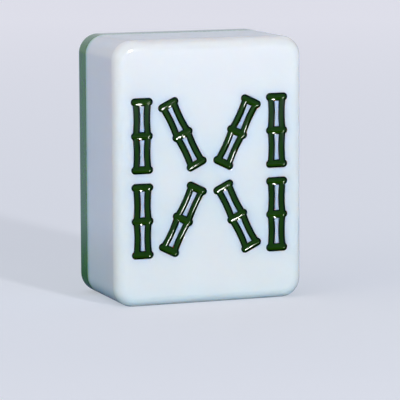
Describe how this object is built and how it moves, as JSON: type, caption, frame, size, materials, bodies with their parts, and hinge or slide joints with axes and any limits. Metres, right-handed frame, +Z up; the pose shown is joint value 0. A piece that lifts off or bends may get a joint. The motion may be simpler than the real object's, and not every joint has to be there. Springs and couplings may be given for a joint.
{
  "type": "mahjong tile",
  "caption": "Upright two-layer mahjong tile: white face block with an engraved, paint-filled bamboo figure, bonded to a green back cap, all edges rounded.",
  "frame": {"origin": "middle of the base, the short edge that the tile stands on", "axes": "+Z up along the tile's height, the painted face towards -Y, +X to the right seen from the face"},
  "size_m": [0.03, 0.019, 0.04],
  "materials": {
    "white_body": "polished cool white, faintly translucent",
    "green_body": "polished fillets and sides, satin back with fine polishing lines",
    "adhesive": "clear film, its edge polished flush with the sides",
    "green_paint": "glossy dark green enamel, dished where it dried"
  },
  "bodies": {
    "root": {"face_block": "white_body", "back_cap": "green_body", "bond_film": "adhesive", "paint_top_left": "green_paint", "paint_top_mid_left": "green_paint", "paint_top_mid_right": "green_paint", "paint_top_right": "green_paint", "paint_bottom_left": "green_paint", "paint_bottom_mid_left": "green_paint", "paint_bottom_mid_right": "green_paint", "paint_bottom_right": "green_paint"}
  },
  "joints": []
}
